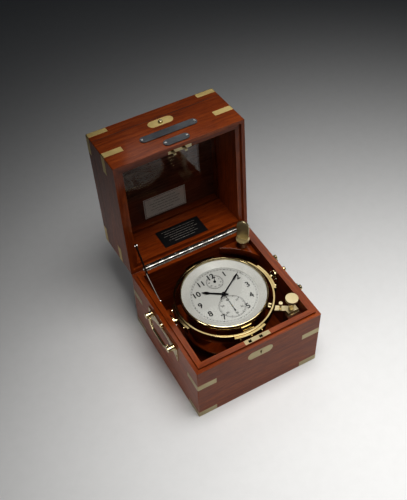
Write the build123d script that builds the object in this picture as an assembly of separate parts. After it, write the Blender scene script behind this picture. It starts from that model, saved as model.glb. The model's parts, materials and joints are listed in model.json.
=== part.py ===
"""Two-day marine chronometer in a three-tier, brass-bound mahogany box, shown with the upper tiers open.

Millimetres, +Z up. The origin is the centre of the box's underside: +X to the right seen from the front,
+Y to the hinged back. The glazed middle tier and the top lid are drawn shut, then swung open about the
piano hinge with opened(). The bowl hangs level in its gimbal ring at the centre of the base.
"""

import os
from math import atan2, cos, degrees, hypot, pi, radians, sin

from build123d import *

# ---- driving dimensions of the box -------------------------------------------------------------------
HALF = 95.0  # half the box's outer width and depth
WALL = 13.0  # thickness of every side board
INNER = HALF - WALL
BASE_H = 105.0  # height of the base's outer edge
TIER_TOP = 172.2  # top of the glazed middle tier, shut
BOX_H = 192.0  # top of the top lid, shut
SEAM = 0.2  # gap between two shut tiers
LIP_UP = 3.0  # the base's inner lip stands this far above its outer edge
LIP_OUT = 89.5  # outer face of the lip, from the centre
LIP_OUT_BACK = 87.5  # the same at the back, where the hinge leaf lies
FIT = 0.3  # room around the lip inside the shut tier
CORNER_R = 1.2  # rounding of the box's upright edges
BOTTOM_T = 9.0
PANEL_T = 12.0  # the top lid's panel

# ---- hinges ---------------------------------------------------------------------------------------------
OPEN_DEG = 94.0  # the tier stands this far open
HINGE_Z = BASE_H + SEAM / 2
TOP_HINGE_Z = TIER_TOP + SEAM / 2
KNUCKLE_R = 2.4
HINGE_HALF = 76.0
KNUCKLES = 19
PIN_R = 1.0
RUN = 0.06  # radial clearance of a running fit

# ---- brass on the box ----------------------------------------------------------------------------------
PROUD = 0.15  # inlaid brass stands this far out of the wood
INLAY = 1.0
STRAP_LEG = 28.0
STRAP_W = 10.0
STRAP_Z = {"base": (0.4, 66.0), "tier": (132.5,), "top": (181.6,)}
KEYHOLE_Z = 86.0
BUTTON_Z = 161.5
PLATES = ((83.0, 137.7), (37.0, 115.7))  # length and height of the two name plates
PLATE_W = 12.5
POST_Y, POST_Z = 32.0, 88.5
BAIL_X = 102.5  # the bail's pivot, from the centre
HOOKS_X = (-11.0, 5.5)

# ---- glass ----------------------------------------------------------------------------------------------
GLASS_Z = (165.0, 168.0)
GLASS_HALF = 84.8

# ---- gimbals and bowl ----------------------------------------------------------------------------------
PIVOT_Z = 95.5
RING_R = (67.0, 70.0)
RING_Z = (88.5, 102.5)
PAD_R = 73.5
PAD_Z = (90.0, 100.8)
PAD_DEG = 19.0
PIVOT_R = 2.2
BOWL_R = 58.0
BOWL_Z = (33.5, 104.3)
BOWL_WALL = 2.0
BEZEL_R = 61.5
BEZEL_TOP = 112.3
CRYSTAL_Z = (108.75, 110.8)
DIAL_TOP = 103.3
DIAL_R = 47.8
SECONDS_Y = -22.4
UPDOWN_Y = 26.0
UPDOWN_R = 0.69

# ---- gimbal lock and key -------------------------------------------------------------------------------
LOCK_XY = (69.2, -61.5)
LOCK_ARM_Z = (94.0, 96.5)
KEY_XY = (71.5, 69.5)
SHELF_Z = (85.0, 97.0)
SHELF_R = 91.0

# ---- lid stay: pivots and bar lengths in the (y, z) plane -------------------------------------------
STAY_BASE = (36.0, 101.0)
STAY_TIER = (51.0, 111.0)  # with the tier shut
STAY_BAR = 42.0
STAY_EYE = 3.2
STAY_X = (-81.6, -80.4, -80.1, -78.9)

# ---- going train: (x, y) of each arbor, tooth counts and modules ----------------------------------
CENTRE = (0.0, 0.0)
FOURTH = (0.0, SECONDS_Y)
PLATE_R = 52.5
DIAL_PLATE_Z = (96.0, 99.0)
TOP_PLATE_Z = (69.0, 72.0)
CENTRE_TEETH, THIRD_PINION, CENTRE_MOD = 90, 12, 0.45
THIRD_TEETH, FOURTH_PINION, THIRD_MOD = 80, 10, 0.42
FOURTH_TEETH, ESCAPE_PINION, FOURTH_MOD = 80, 10, 0.36
GREAT_TEETH, CENTRE_PINION, GREAT_MOD = 84, 14, 0.45
CANNON_TEETH, MINUTE_TEETH, MOTION_MOD = 12, 36, 0.3
MINUTE_PINION, HOUR_TEETH, HOUR_MOD = 10, 40, 0.288
MINUTE_STUD_R = 0.6
BARREL = (20.0, 22.0)
BARREL_R = 14.0
FUSEE_R = 2.0
ESCAPE_TEETH = 15
BALANCE_XY = (-20.0, -21.2)
BALANCE_R = 16.0

os.makedirs("parts", exist_ok=True)


# ---- small helpers --------------------------------------------------------------------------------------
def save(name, solids):
    """Writes one node; a list becomes separate solids of that node."""
    shapes = solids if isinstance(solids, list) else [solids]
    pieces = [s for shape in shapes for s in shape.solids()]
    export_step(pieces[0] if len(pieces) == 1 else Compound(children=pieces), f"parts/{name}.step")


def block(x0, x1, y0, y1, z0, z1):
    return Pos((x0 + x1) / 2, (y0 + y1) / 2, (z0 + z1) / 2) * Box(x1 - x0, y1 - y0, z1 - z0)


def post(r, z0, z1, x=0.0, y=0.0):
    return Pos(x, y, (z0 + z1) / 2) * Cylinder(r, z1 - z0)


def rod_x(r, x0, x1, y, z):
    return Pos((x0 + x1) / 2, y, z) * Rot(0, 90, 0) * Cylinder(r, x1 - x0)


def rod_y(r, y0, y1, x, z):
    return Pos(x, (y0 + y1) / 2, z) * Rot(90, 0, 0) * Cylinder(r, y1 - y0)


def prism(points, z0, z1):
    return Pos(0, 0, z0) * extrude(make_face(Polyline(*points, close=True)), z1 - z0)


def turned(profile):
    """A solid of revolution about the Z axis from (radius, height) points."""
    points = [(r, 0, z) for r, z in profile]
    return revolve(make_face(Polyline(*points, close=True)), Axis.Z)


def ring(r_in, r_out, z0, z1):
    return post(r_out, z0, z1) - post(r_in, z0 - 1, z1 + 1)


def stadium(length, width, depth):
    """A round-ended plate lying in XZ, centred on the origin, its back at y = 0, facing -Y."""
    return Rot(90, 0, 0) * extrude(SlotOverall(length, width), depth)


def opened(shape, z_axis=HINGE_Z):
    """Swings a shut piece of the upper tiers open about the hinge at the back."""
    return Pos(0, HALF, z_axis) * Rot(-OPEN_DEG, 0, 0) * Pos(0, -HALF, -z_axis) * shape


def capsule(p, q, r):
    """A round bar between two points, with ball ends."""
    start, end = Vector(*p), Vector(*q)
    run = end - start
    bar = Plane(origin=start, z_dir=run) * (Pos(0, 0, run.length / 2) * Cylinder(r, run.length))
    return bar + Pos(start) * Sphere(r) + Pos(end) * Sphere(r)


def screw(r_head, head, r_shank, shank):
    """A screw on the origin: its head stands up +Z from the surface at z = 0."""
    body = post(r_head, 0, head) + post(r_shank, -shank, 0)
    return body - block(-r_head - 1, r_head + 1, -0.25, 0.25, head - 0.5, head + 1)


# ---- the wooden box -------------------------------------------------------------------------------------
def shell(z0, z1, half=HALF):
    """The box's outer block with rounded upright edges."""
    body = block(-half, half, -half, half, z0, z1)
    return fillet(body.edges().filter_by(Axis.Z), CORNER_R)


def well(half, back, z0, z1):
    """A square void, half wide at the front and sides and reaching y = back."""
    return block(-half, half, -half, back, z0, z1)


def mitred(frame, z0, z1):
    """Splits a four-sided frame into front, back, left and right boards."""
    reach = HALF + 2
    corners = [(-reach, -reach), (reach, -reach), (reach, reach), (-reach, reach)]
    boards = []
    for a, b in ((0, 1), (2, 3), (3, 0), (1, 2)):
        boards.append(frame & prism([corners[a], corners[b], (0, 0)], z0 - 1, z1 + 1))
    return boards


def base_frame():
    lip_top = BASE_H + LIP_UP
    body = shell(0, BASE_H) + well(LIP_OUT, LIP_OUT_BACK, BASE_H - 1, lip_top)
    body -= well(INNER, INNER, -1, lip_top + 1)
    groove = well(LIP_OUT + 0.1, LIP_OUT_BACK, BASE_H - 1.2, BASE_H) - well(
        LIP_OUT - 0.9, LIP_OUT_BACK - 0.5, BASE_H - 2, BASE_H + 1
    )
    groove -= block(-HALF, HALF, LIP_OUT_BACK - 0.5, HALF, BASE_H - 2, BASE_H + 1)
    return body - groove


def tier_frame():
    z0 = BASE_H + SEAM
    ceiling = BASE_H + LIP_UP + FIT + 0.1
    body = shell(z0, TIER_TOP) - well(INNER, INNER, z0 - 1, TIER_TOP + 1)
    body -= well(LIP_OUT + FIT, LIP_OUT_BACK + FIT, z0 - 1, ceiling)
    return body - well(GLASS_HALF + 0.2, GLASS_HALF + 0.2, GLASS_Z[0], TIER_TOP + 1)


def hinge_room(z_axis):
    """The space a piano hinge takes out of the two boards it joins."""
    barrel = rod_x(KNUCKLE_R + 0.35, -HINGE_HALF - 1, HINGE_HALF + 1, HALF, z_axis)
    leaves = block(-HINGE_HALF - 0.5, HINGE_HALF + 0.5, 87.9, 93.0, z_axis - 1.15, z_axis + 1.15)
    return barrel + leaves


def piano_hinge(z_axis):
    """The lower leaf, the upper leaf and the pin of a shut piano hinge along the back edge."""
    pitch = 2 * HINGE_HALF / KNUCKLES
    leaves = []
    for side in (0, 1):
        low = z_axis + (0.2 if side else -1.1)
        leaf = block(-HINGE_HALF, HINGE_HALF, 88.0, 92.2, low, low + 0.9)
        for i in range(side, KNUCKLES, 2):
            x0 = -HINGE_HALF + i * pitch + 0.15
            x1 = x0 + pitch - 0.3
            leaf += block(x0, x1, 92.0, 94.2, low, low + 0.9)
            leaf += rod_x(KNUCKLE_R, x0, x1, HALF, z_axis)
        leaf -= rod_x(PIN_R + RUN, -HINGE_HALF - 2, HINGE_HALF + 2, HALF, z_axis)
        leaves.append(leaf)
    pin = rod_x(PIN_R, -HINGE_HALF - 0.5, HINGE_HALF + 0.5, HALF, z_axis)
    return leaves[0], leaves[1], pin


def corner_straps(tier):
    """L-shaped inlaid straps round the four upright edges at each height of one tier."""
    straps = []
    for z0 in STRAP_Z[tier]:
        skin = shell(z0, z0 + STRAP_W, HALF + PROUD)
        skin -= well(HALF - INLAY, HALF - INLAY, z0 - 1, z0 + STRAP_W + 1)
        for sx in (-1, 1):
            for sy in (-1, 1):
                near = Pos(sx * HALF, sy * HALF, z0) * Box(2 * STRAP_LEG, 2 * STRAP_LEG, 4 * STRAP_W)
                straps.append(skin & near)
    return straps


# ---- brass and locks on the box ------------------------------------------------------------------------
def handle_plates():
    """Each side's plate with its two posts, and the small rest stud above them."""
    edge = ThreePointArc((39.5, 67), (0, 85), (-39.5, 67))
    rest = Polyline((-39.5, 67), (-42, 67), (-42, 94), (42, 94), (42, 67), (39.5, 67))
    outline = make_face(edge + rest)
    plate = Pos(HALF, 0, 0) * (Plane.YZ * extrude(outline, 1.2))
    pieces = []
    for side in (-1, 1):
        turn = Rot(0, 0, 0 if side > 0 else 180)
        fitting = turn * plate
        for y in (-POST_Y, POST_Y):
            stem = rod_x(4.0, HALF + 1.2, HALF + 11, y, POST_Z)
            stem += rod_x(5.0, HALF + 1.2, HALF + 2.4, y, POST_Z)
            fitting += turn * fillet(stem.edges().sort_by(Axis.X)[-1], 0.8)
        fitting -= rod_y(1.5 + RUN, -POST_Y - 6, POST_Y + 6, side * BAIL_X, POST_Z)
        stud = rod_x(3.4, HALF, HALF + 4.6, 0, 100.0)
        pieces += [fitting, turn * fillet(stud.edges().sort_by(Axis.X)[-1], 1.6)]
    return pieces


def bail(side):
    """The handle's bail, hanging: two pivots, two slanting legs and a straight grip."""
    x = side * BAIL_X
    half = [(x, 25.7, POST_Z), (x, 23.5, 81.0), (x, 16.0, 75.8)]
    mirrored = [(x, -y, z) for _, y, z in reversed(half)]
    path = half + mirrored
    body = capsule(path[0], path[1], 2.0)
    for a, b in zip(path[1:], path[2:]):
        body += capsule(a, b, 2.0)
    for sy in (-1, 1):
        y0, y1 = sorted((sy * 25.7, sy * (POST_Y + 3.5)))
        body += rod_y(1.5, y0, y1, x, POST_Z)
    return body


def keyhole(y0, y1):
    return rod_y(1.7, y0, y1, 1.0, KEYHOLE_Z + 1.2) + block(0.3, 1.7, y0, y1, KEYHOLE_Z - 3.4, KEYHOLE_Z + 1)


def lock_parts():
    """The mortise lock in the base's front board: case, selvedge plate with two hook holes, and bolt."""
    top = BASE_H + LIP_UP
    case = block(-18, 18, -89, -83.4, 78, top - 1.4) - block(-17.2, 17.2, -88.2, -84.2, 79, top)
    case -= keyhole(-90, -86)
    plate = block(-19, 19, -89.0, -82.4, top - 1.4, top)
    for x in HOOKS_X:
        plate -= block(x - 2.3, x + 2.3, -88.1, -84.0, top - 2, top + 1)
    bolt = block(-16.2, 8, -87.4, -84.8, 95.5, 99.3)
    for x in HOOKS_X:
        bolt += block(x - 5.2, x - 3.9, -87.4, -84.8, 99.0, 104.2)
        bolt += block(x - 4.0, x - 2.1, -87.4, -84.8, 102.4, 104.2)
    return case, plate, bolt


def strike_plate():
    """The plate in the tier's front rim, with two notched hooks that drop through the lock."""
    z0 = BASE_H + LIP_UP + FIT + 0.1
    plate = block(-17, 17, -89.4, -82.2, z0, z0 + 1.2)
    for x in HOOKS_X:
        hook = block(x - 1.8, x + 1.8, -87.3, -84.9, 100.2, z0 + 0.1)
        plate += hook - block(x - 2.0, x - 0.2, -88, -84, 101.9, 104.7)
    return plate


def push_button():
    """The plunger in the tier's front escutcheon, with the flange that keeps it in."""
    cap = rod_y(3.2, -HALF - 2.2, -91.9, 0, BUTTON_Z)
    cap = fillet(cap.edges().sort_by(Axis.Y)[0], 0.8)
    return cap + rod_y(4.4, -93.0, -91.9, 0, BUTTON_Z)


def stay_bar(x0, x1, start, angle, length, eye):
    """A flat bar in the YZ plane, from start along angle, with an eye at each end."""
    outline = Pos(length / 2, 0) * SlotOverall(length + 2 * STAY_EYE, 2 * STAY_EYE)
    holes = Circle(eye) + Pos(length, 0) * Circle(eye)
    bar = extrude(outline - holes, x1 - x0)
    return Plane(origin=(x0, *start), x_dir=(0, cos(angle), sin(angle)), z_dir=(1, 0, 0)) * bar


def stay_knee():
    """The pivots and knee of the lid stay with the tier open, in (y, z)."""
    a = radians(-OPEN_DEG)
    dy, dz = STAY_TIER[0] - HALF, STAY_TIER[1] - HINGE_Z
    upper = (HALF + dy * cos(a) - dz * sin(a), HINGE_Z + dy * sin(a) + dz * cos(a))
    gy, gz = upper[0] - STAY_BASE[0], upper[1] - STAY_BASE[1]
    gap = hypot(gy, gz)
    drop = (STAY_BAR**2 - (gap / 2) ** 2) ** 0.5
    knee = (STAY_BASE[0] + gy / 2 + gz / gap * drop, STAY_BASE[1] + gz / 2 - gy / gap * drop)
    return upper, knee


# ---- gimbals ---------------------------------------------------------------------------------------------
def sector(r_in, r_out, z0, z1, mid_deg, half_deg):
    """Part of a ring, half_deg either side of mid_deg."""
    a, b = radians(mid_deg - half_deg), radians(mid_deg + half_deg)
    far = 2 * r_out
    wedge = prism([(0, 0), (far * cos(a), far * sin(a)), (far * cos(b), far * sin(b))], z0, z1)
    return ring(r_in, r_out, z0, z1) & wedge


def pad_screws(mid_deg):
    """The two screws of a ring pad, and on the front and back pads the pivot screw between them."""
    screws = []
    for offset in (-13.0, 13.0):
        spot = Rot(0, 0, mid_deg + offset) * Pos(PAD_R - 0.1, 0, PIVOT_Z + 0.8) * Rot(0, 90, 0)
        screws.append(spot * screw(2.1, 1.5, 1.0, 3.0))
    if mid_deg % 180:
        pivot = screw(3.2, 1.9, PIVOT_R, PAD_R - 61.5)
        screws.append(Rot(0, 0, mid_deg) * Pos(PAD_R - 0.1, 0, PIVOT_Z) * Rot(0, 90, 0) * pivot)
    return screws


def gimbal_bearing(side):
    """A round plate on the box's side wall, with the boss and the pin the ring turns on."""
    bearing = rod_x(10.5, 79.5, INNER, 0, PIVOT_Z)
    bearing += rod_x(4.0, 75.2, 79.6, 0, PIVOT_Z) + rod_x(PIVOT_R, 67.6, 75.3, 0, PIVOT_Z)
    return Rot(0, 0, 0 if side > 0 else 180) * bearing


def wall_screws(side):
    screws = []
    for y in (-7.0, 7.0):
        spot = Pos(side * 79.5, y, PIVOT_Z) * Rot(0, -90 * side, 0)
        screws.append(spot * screw(1.9, 1.2, 0.9, 6.0))
    return screws


def bowl_body():
    """The brass bowl with its gimbal bosses, the forked lock lug and the movement's ledge."""
    z0, z1 = BOWL_Z
    outer = post(BOWL_R, z0, z1)
    outer = fillet(outer.edges().sort_by(Axis.Z)[0], 14)
    inner = post(BOWL_R - BOWL_WALL, z0 + BOWL_WALL, z1 + 5)
    inner = fillet(inner.edges().sort_by(Axis.Z)[0], 12)
    for sy in (-1, 1):
        y0, y1 = sorted((sy * 50.0, sy * 65.4))
        outer += block(-8, 8, y0, y1, PIVOT_Z - 5.5, PIVOT_Z + 5.5)
    lug = block(50, 65.8, -3.6, 3.6, 96, 101.5) - block(62.5, 67, -1.3, 1.3, 95, 103)
    outer += Rot(0, 0, -45) * lug
    body = outer - inner + ring(49.5, BOWL_R - BOWL_WALL + 0.5, 93.0, DIAL_PLATE_Z[0])
    for sy in (-1, 1):
        y0, y1 = sorted((sy * 60.0, sy * 67.0))
        body -= rod_y(PIVOT_R + RUN, y0, y1, 0, PIVOT_Z)
    fusee_x, fusee_y = fusee_xy()
    body -= post(3.0, z0 - 1, z0 + 4, fusee_x, fusee_y)
    return body - post(1.0 + RUN, z0 - 1, z0 + 1.2, *shutter_xy())


def shutter_xy():
    """The pivot of the shutter over the winding hole."""
    x, y = fusee_xy()
    return (x + 12.0, y)


def bezel():
    return turned(
        [
            (58.8, BOWL_Z[1]),
            (BEZEL_R, BOWL_Z[1]),
            (BEZEL_R, BEZEL_TOP - 1.5),
            (BEZEL_R - 1.0, BEZEL_TOP),
            (59.6, BEZEL_TOP),
            (58.8, BEZEL_TOP - 0.8),
        ]
    )


def rehaut():
    """The sloped silvered ring from the dial up to the crystal."""
    return turned(
        [(DIAL_R, DIAL_TOP + 0.1), (58.6, 108.0), (58.6, 108.65), (57.6, 108.65), (DIAL_R, DIAL_TOP + 0.9)]
    )


# ---- gears, wheels and hands ---------------------------------------------------------------------------
def gear(teeth, module, z0, z1, centre=(0.0, 0.0), tooth_deg=0.0, gap=False):
    """A toothed disc; a tooth, or with gap a space, points along tooth_deg."""
    root, tip = module * (teeth / 2 - 1.15), module * (teeth / 2 + 0.75)
    step = 2 * pi / teeth
    first = radians(tooth_deg) + (step / 2 if gap else 0.0)
    points = []
    for i in range(teeth):
        mid = first + i * step
        for r, a in ((root, -0.2), (tip, -0.09), (tip, 0.09), (root, 0.2)):
            points.append((r * cos(mid + a * step), r * sin(mid + a * step)))
    return Pos(*centre, 0) * prism(points, z0, z1)


def crossings(centre, r_in, r_out, z0, z1, arms=4):
    """The four windows between a wheel's arms."""
    windows = []
    for i in range(arms):
        mid = 360 / arms * i + 45
        a, b = radians(mid - 34), radians(mid + 34)
        c, d = radians(mid - 22), radians(mid + 22)
        outer = [(r_out * cos(t), r_out * sin(t)) for t in (a, radians(mid), b)]
        inner = [(r_in * cos(t), r_in * sin(t)) for t in (d, c)]
        windows.append(Pos(*centre, 0) * prism(outer + inner, z0 - 1, z1 + 1))
    return windows


def heading(a, b):
    return degrees(atan2(b[1] - a[1], b[0] - a[0]))


def third_xy():
    """The third arbor, placed where both its meshes have their centre distances."""
    far = CENTRE_MOD * (CENTRE_TEETH + THIRD_PINION) / 2
    near = THIRD_MOD * (THIRD_TEETH + FOURTH_PINION) / 2
    y = (far**2 - near**2 + SECONDS_Y**2) / (2 * SECONDS_Y)
    return ((far**2 - y**2) ** 0.5, y)


def escape_xy():
    far = FOURTH_MOD * (FOURTH_TEETH + ESCAPE_PINION) / 2
    return (FOURTH[0] + far * cos(radians(224)), FOURTH[1] + far * sin(radians(224)))


def fusee_xy():
    far = GREAT_MOD * (GREAT_TEETH + CENTRE_PINION) / 2
    return (far * cos(radians(160)), far * sin(radians(160)))


def minute_xy():
    far = MOTION_MOD * (CANNON_TEETH + MINUTE_TEETH) / 2
    return (far * cos(radians(45)), far * sin(radians(45)))


def going_train():
    """Each wheel with its pinion and arbor, in mesh with its neighbours."""
    third, escape, fusee = third_xy(), escape_xy(), fusee_xy()
    z_centre, z_third, z_fourth, z_great = 92.6, 86.0, 80.2, 84.2
    low, high = TOP_PLATE_Z[0] + 1, DIAL_PLATE_Z[1] - 0.5

    centre_wheel = gear(CENTRE_TEETH, CENTRE_MOD, z_centre, z_centre + 1.4, CENTRE, heading(CENTRE, third))
    for window in crossings(CENTRE, 5.0, 17.0, z_centre, z_centre + 1.4):
        centre_wheel -= window
    centre_wheel += gear(
        CENTRE_PINION, GREAT_MOD, z_great - 1.0, z_great + 2.6, CENTRE, heading(CENTRE, fusee), True
    )
    centre_wheel += post(1.2, low, 99.2) + post(0.9, 99.0, 106.0)

    third_wheel = gear(THIRD_TEETH, THIRD_MOD, z_third, z_third + 1.3, third, heading(third, FOURTH))
    for window in crossings(third, 4.0, 13.8, z_third, z_third + 1.3):
        third_wheel -= window
    third_wheel += gear(
        THIRD_PINION, CENTRE_MOD, z_centre - 0.8, z_centre + 2.2, third, heading(third, CENTRE), True
    )
    third_wheel += post(1.0, low, high, *third)

    fourth_wheel = gear(FOURTH_TEETH, FOURTH_MOD, z_fourth, z_fourth + 1.2, FOURTH, heading(FOURTH, escape))
    for window in crossings(FOURTH, 3.6, 11.6, z_fourth, z_fourth + 1.2):
        fourth_wheel -= window
    fourth_wheel += gear(
        FOURTH_PINION, THIRD_MOD, z_third - 0.8, z_third + 2.1, FOURTH, heading(FOURTH, third), True
    )
    fourth_wheel += post(0.9, low, 100.0, *FOURTH) + post(0.6, 99.5, DIAL_TOP + 1.2, *FOURTH)

    escape_wheel = Pos(*escape, 0) * escape_disc(75.0, 76.4)
    escape_wheel += gear(
        ESCAPE_PINION, FOURTH_MOD, z_fourth - 0.8, z_fourth + 2.0, escape, heading(escape, FOURTH), True
    )
    escape_wheel += post(0.8, low, high, *escape)

    great_wheel = gear(GREAT_TEETH, GREAT_MOD, z_great, z_great + 1.6, fusee, heading(fusee, CENTRE))
    great_wheel -= post(FUSEE_R + RUN, z_great - 1, z_great + 3, *fusee)
    cone = turned([(0, 0), (11.5, 0), (11.5, 1.0), (6.2, 9.8), (6.2, 10.8), (0, 10.8)])
    square = Pos(*fusee, 0) * block(-1.3, 1.3, -1.3, 1.3, 37.5, 48.5)
    fusee_body = Pos(*fusee, 73.2) * cone + post(FUSEE_R, 48, 90, *fusee) + square
    fusee_body += post(1.2, 89.5, high, *fusee)
    return centre_wheel, third_wheel, fourth_wheel, escape_wheel, great_wheel, fusee_body


def escape_disc(z0, z1):
    """The escape wheel: fifteen raked, undercut teeth on a light rim."""
    points = []
    for i in range(ESCAPE_TEETH):
        a = 2 * pi * i / ESCAPE_TEETH
        for r, da in ((6.6, 0.0), (9.0, 0.10), (9.0, 0.13), (7.4, 0.27), (6.6, 0.33)):
            points.append((r * cos(a + da), r * sin(a + da)))
    wheel = prism(points, z0, z1)
    for window in crossings((0, 0), 2.0, 5.6, z0, z1):
        wheel -= window
    return wheel


def plate_holes(z0, z1, fusee_r):
    """The pivot holes of one movement plate."""
    wheels = ((1.2, CENTRE), (1.0, third_xy()), (0.9, FOURTH), (0.8, escape_xy()))
    sizes = wheels + ((fusee_r, fusee_xy()), (1.6, BARREL))
    return [post(r + RUN, z0 - 1, z1 + 1, *xy) for r, xy in sizes]


def movement_frame():
    """The dial plate, the top plate and the four pillars between them."""
    dial_plate = post(PLATE_R, *DIAL_PLATE_Z)
    top_plate = post(47.0, *TOP_PLATE_Z) - post(4.0, TOP_PLATE_Z[0] - 1, TOP_PLATE_Z[1] + 1, *BALANCE_XY)
    for hole in plate_holes(*DIAL_PLATE_Z, 1.2) + [post(UPDOWN_R + RUN, 95, 100, 0, UPDOWN_Y)]:
        dial_plate -= hole
    for hole in plate_holes(*TOP_PLATE_Z, FUSEE_R):
        top_plate -= hole
    dial_plate += post(MINUTE_STUD_R, 98.5, 101.3, *minute_xy())
    detent_foot = detent_place() * block(-13, -9, -11.6, -7.6, TOP_PLATE_Z[1], 76.4)
    pillars = []
    for deg in (10, 95, 195, 305):
        spot = (43.0 * cos(radians(deg)), 43.0 * sin(radians(deg)))
        z0, z1 = TOP_PLATE_Z[1], DIAL_PLATE_Z[0]
        pillar = post(2.6, z0, z1, *spot) + post(3.8, z0, z0 + 2, *spot) + post(3.8, z1 - 2, z1, *spot)
        pillars.append(pillar)
    return [dial_plate, top_plate, detent_foot] + pillars


def barrel():
    drum = post(BARREL_R, 73.4, 88.0, *BARREL) - post(BARREL_R - 1.2, 74.4, 87.0, *BARREL)
    return drum + post(1.6, TOP_PLATE_Z[0] + 1, DIAL_PLATE_Z[1] - 0.5, *BARREL)


def fusee_chain():
    """The straight run of chain from barrel to fusee, as alternate pairs of links."""
    fusee = fusee_xy()
    a = radians(heading(fusee, BARREL) + 90)
    start = Vector(fusee[0] + 12.4 * cos(a), fusee[1] + 12.4 * sin(a), 75.0)
    end = Vector(BARREL[0] + (BARREL_R + 0.9) * cos(a), BARREL[1] + (BARREL_R + 0.9) * sin(a), 75.0)
    run = end - start
    count = 16
    links = []
    for i in range(count):
        spot = Plane(origin=start + run * ((i + 0.5) / count), x_dir=run, z_dir=(0, 0, 1))
        length = run.length / count - 0.1
        for dz in ((-0.35, 0.35) if i % 2 else (0.0,)):
            links.append(spot * (Pos(0, 0, dz) * Box(length, 0.7, 0.3 if i % 2 else 0.38)))
    return links


def balance():
    """The cut bimetallic balance with two weights, its staff and the impulse roller."""
    x, y = BALANCE_XY
    rim = ring(BALANCE_R - 2.2, BALANCE_R, 58.0, 61.0) - block(-3.2, -2.0, -20, 20, 57, 62)
    rim -= block(2.0, 3.2, -20, 20, 57, 62)
    arm = block(-BALANCE_R + 1.5, BALANCE_R - 1.5, -1.4, 1.4, 58.0, 59.2)
    weights = [post(2.6, 57.0, 62.0, sx * 9.9, sy * 9.9) for sx, sy in ((1, 1), (-1, -1))]
    wheel = rim + arm + post(3.0, 57.6, 61.6) + post(0.9, 50.6, 77.5) + post(3.4, 73.6, 74.6)
    for weight in weights:
        wheel += weight
    return [s for s in (Pos(x, y, 0) * wheel).solids() if s.volume > 40]


def balance_cock():
    """The bridge that carries the balance's lower pivot."""
    arm = block(-5, 24, -4.5, 4.5, 46.5, 50.0) + block(17.5, 30, -4.5, 4.5, 46.5, TOP_PLATE_Z[0])
    return Pos(*BALANCE_XY, 0) * (Rot(0, 0, -20) * arm - post(0.9 + RUN, 48.0, 52.0))


def hairspring():
    """The helical balance spring's outer form: an open sleeve round the staff."""
    return Pos(*BALANCE_XY, 0) * (post(4.4, 62.4, 68.4) - post(3.6, 62.0, 69.0))


def detent_place():
    """The detent's own frame: the escape arbor, with X along the blade towards the balance staff."""
    escape = escape_xy()
    return Pos(*escape, 0) * Rot(0, 0, heading(escape, BALANCE_XY) + 29.5)


def detent():
    """The spring detent: a thin blade past the escape wheel, with its locking stone."""
    blade = block(-8.9, 13.0, -9.75, -9.45, 74.9, 76.3)
    return detent_place() * (blade + block(-0.5, 0.5, -9.6, -9.15, 75.0, 76.2))


def poire_hand(length, tail, width, z0, z1, hub_r, bore):
    """A hand along +Y with a slim stem, a pear-shaped leaf before its point, and a round hub."""
    stem = width * 0.28
    outline = [
        (stem, 0),
        (stem * 0.8, length * 0.62),
        (width / 2, length * 0.76),
        (width * 0.36, length * 0.84),
        (width * 0.12, length * 0.93),
        (0, length),
    ]
    points = outline + [(-x, y) for x, y in reversed(outline[:-1])]
    points += [(-stem * 0.9, -tail), (stem * 0.9, -tail)]
    return prism(points, z0, z1) + post(hub_r, z0, z1) - post(bore, z0 - 1, z1 + 1)


def pointing(shape, clock_deg, centre=(0.0, 0.0)):
    """Turns a +Y hand clockwise by clock_deg and sets it on its arbor."""
    return Pos(*centre, 0) * Rot(0, 0, -clock_deg) * shape


# ---- write every node -----------------------------------------------------------------------------------
def write_box():
    frame = base_frame() - hinge_room(HINGE_Z)
    straps = corner_straps("base")
    case, plate, bolt = lock_parts()
    escutcheon = Pos(0, -HALF + INLAY, KEYHOLE_Z) * stadium(38.5, 14.5, INLAY + PROUD)
    room = block(-18, 18, -89, -83.4, 78, BASE_H + 2) + plate + escutcheon + keyhole(-HALF - 2, -88)
    screws = wall_screws(-1) + wall_screws(1)
    bearings = [gimbal_bearing(side) for side in (-1, 1)]
    for cutter in straps + screws:
        frame -= cutter
    frame -= room
    frame -= block(HOOKS_X[0] - 2.3, HOOKS_X[1] + 2.3, -88.1, -84.0, BASE_H - 5, BASE_H + LIP_UP + 1)
    for i, bearing in enumerate(bearings):
        for cutter in wall_screws(-1 if i == 0 else 1):
            bearing -= cutter
        bearings[i] = bearing
    stay_screw = Pos(STAY_X[1], *STAY_BASE) * Rot(0, 90, 0) * screw(2.6, 1.2, 1.5, 8.0)
    frame -= stay_screw
    bottom = block(-INNER, INNER, -INNER, INNER, 0, BOTTOM_T)
    save("base_boards", mitred(frame, 0, BASE_H + LIP_UP) + [bottom])
    save("base_corner_straps", straps)
    save("keyhole_escutcheon", escutcheon - keyhole(-HALF - 2, -90))
    save("box_lock", [case, plate])
    save("lock_bolt", bolt)
    save("handle_plates", handle_plates())
    save("bail_left", bail(-1))
    save("bail_right", bail(1))
    save("gimbal_bearings", bearings)
    save("case_screws", screws + [stay_screw])


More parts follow.
